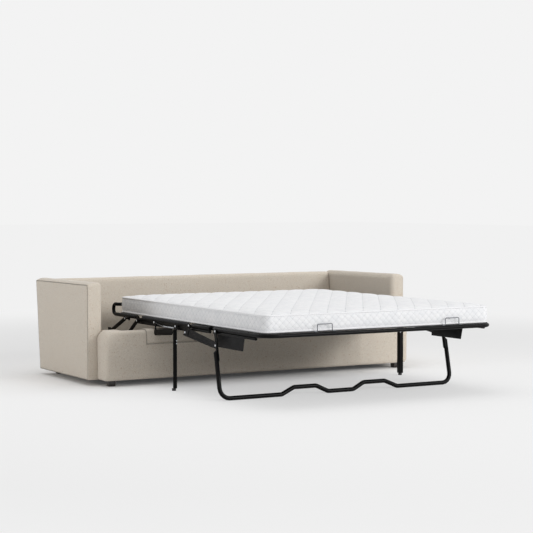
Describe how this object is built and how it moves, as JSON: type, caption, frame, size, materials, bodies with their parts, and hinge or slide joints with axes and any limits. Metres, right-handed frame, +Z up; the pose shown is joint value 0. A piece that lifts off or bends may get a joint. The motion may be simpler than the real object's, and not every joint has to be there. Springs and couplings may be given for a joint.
{
  "type": "sleeper sofa with pull-out bed",
  "caption": "Fabric sleeper sofa, drawn open: a quilted mattress on a folding black steel bed frame that lifts out over the front rail and folds back into the seat.",
  "frame": {"origin": "centre of the open sofa bed's bounding box on the floor", "axes": "+Z up, +X towards a sitter's left arm, -Y out of the sofa towards the bed's foot"},
  "size_m": [2.32, 2.303, 0.6122],
  "materials": {
    "woven_fabric": "matt woven",
    "mattress_ticking": "quilted ticking",
    "black_steel": "satin black",
    "panel_steel": "matt dark grey",
    "bright_steel": "zinc plated",
    "black_plastic": "matt",
    "deck_cloth": "black cambric",
    "plywood": "raw",
    "dark_wood": "dark stain"
  },
  "bodies": {
    "sofa": {"arm_left": "woven_fabric", "arm_right": "woven_fabric", "back": "woven_fabric", "front_rail": "woven_fabric", "rail_flap": "woven_fabric", "front_foot_left": "dark_wood", "front_foot_right": "dark_wood", "rear_foot_left": "dark_wood", "rear_foot_right": "dark_wood", "side_board_left": "plywood", "side_board_right": "plywood", "side_deck_left": "deck_cloth", "side_deck_right": "deck_cloth", "dust_cover": "deck_cloth", "mount_bracket_left": "black_steel", "mount_bracket_right": "black_steel"},
    "lift_links": {"lift_link_left": "black_steel", "lift_link_right": "black_steel", "torque_tube": "black_steel"},
    "head_links": {"head_link_left": "black_steel", "head_link_right": "black_steel"},
    "body_section": {"body_rail_left": "black_steel", "body_rail_right": "black_steel", "body_cross_bar_rear": "black_steel", "body_cross_bar_front": "black_steel", "body_deck": "deck_cloth", "assist_spring_left": "bright_steel", "assist_spring_right": "bright_steel", "mattress_body": "mattress_ticking"},
    "control_links": {"control_link_left": "black_steel", "control_link_right": "black_steel"},
    "head_section": {"head_frame": "black_steel", "head_deck": "deck_cloth", "mattress_head": "mattress_ticking"},
    "mid_section": {"mid_rail_left": "black_steel", "mid_rail_right": "black_steel", "mid_cross_bar": "black_steel", "mid_deck": "deck_cloth", "mattress_fold": "mattress_ticking"},
    "foot_section": {"foot_frame": "black_steel", "foot_lower_rail_left": "black_steel", "foot_lower_rail_right": "black_steel", "side_plate_left": "panel_steel", "side_plate_right": "panel_steel", "foot_deck": "deck_cloth", "retainer_left": "bright_steel", "retainer_right": "bright_steel", "mattress_foot": "mattress_ticking"},
    "foot_leg": {"foot_leg": "black_steel"},
    "mid_legs": {"mid_leg_left": "black_steel", "mid_leg_right": "black_steel", "leg_glide_left": "black_plastic", "leg_glide_right": "black_plastic"},
    "fold_channels": {"fold_channel_left": "panel_steel", "fold_channel_right": "panel_steel"}
  },
  "joints": [
    {"name": "bed_lift", "type": "hinge", "parent": "sofa", "child": "lift_links", "pos_m": [0, 0.64891, 0.19328], "axis": [-1, 0, 0], "range_deg": [0, 165]},
    {"name": "body_level", "type": "hinge", "parent": "lift_links", "child": "body_section", "pos_m": [0, 0.3815, 0.376], "axis": [-1, 0, 0], "range_deg": [-165, 0]},
    {"name": "head_tilt", "type": "hinge", "parent": "body_section", "child": "head_section", "pos_m": [0, 0.4165, 0.393], "axis": [-1, 0, 0], "range_deg": [-94, 0], "deforming": ["mattress_head"]},
    {"name": "head_link_swing", "type": "hinge", "parent": "sofa", "child": "head_links", "pos_m": [0, 0.76111, 0.28528], "axis": [-1, 0, 0], "range_deg": [0, 170.4]},
    {"name": "mid_fold", "type": "hinge", "parent": "body_section", "child": "mid_section", "pos_m": [0, -0.2835, 0.393], "axis": [-1, 0, 0], "range_deg": [0, 90], "deforming": ["mattress_fold"]},
    {"name": "foot_fold", "type": "hinge", "parent": "mid_section", "child": "foot_section", "pos_m": [0, -0.5483, 0.393], "axis": [-1, 0, 0], "range_deg": [0, 90]},
    {"name": "foot_leg_fold", "type": "hinge", "parent": "foot_section", "child": "foot_leg", "pos_m": [0, -0.6133, 0.384], "axis": [-1, 0, 0], "range_deg": [0, 71]},
    {"name": "mid_leg_fold", "type": "hinge", "parent": "body_section", "child": "mid_legs", "pos_m": [0, -0.1425, 0.379], "axis": [-1, 0, 0], "range_deg": [0, 232]},
    {"name": "control_fold", "type": "hinge", "parent": "body_section", "child": "control_links", "pos_m": [0, 0.1535, 0.382], "axis": [-1, 0, 0], "range_deg": [0, 90]},
    {"name": "channel_fold", "type": "hinge", "parent": "body_section", "child": "fold_channels", "pos_m": [0, -0.2585, 0.352], "axis": [-1, 0, 0], "range_deg": [0, 117.2]}
  ],
  "couplings": [
    {"joint": "body_level", "follows": "bed_lift", "ratio": -1},
    {"joint": "head_tilt", "follows": "bed_lift", "ratio": -0.5696},
    {"joint": "head_link_swing", "follows": "bed_lift", "ratio": 1.0327},
    {"joint": "mid_fold", "follows": "bed_lift", "ratio": 0.5454},
    {"joint": "foot_fold", "follows": "bed_lift", "ratio": 0.5454},
    {"joint": "foot_leg_fold", "follows": "bed_lift", "ratio": 0.4303},
    {"joint": "mid_leg_fold", "follows": "bed_lift", "ratio": 1.406},
    {"joint": "control_fold", "follows": "bed_lift", "ratio": 0.5454},
    {"joint": "channel_fold", "follows": "bed_lift", "ratio": 0.7103}
  ]
}
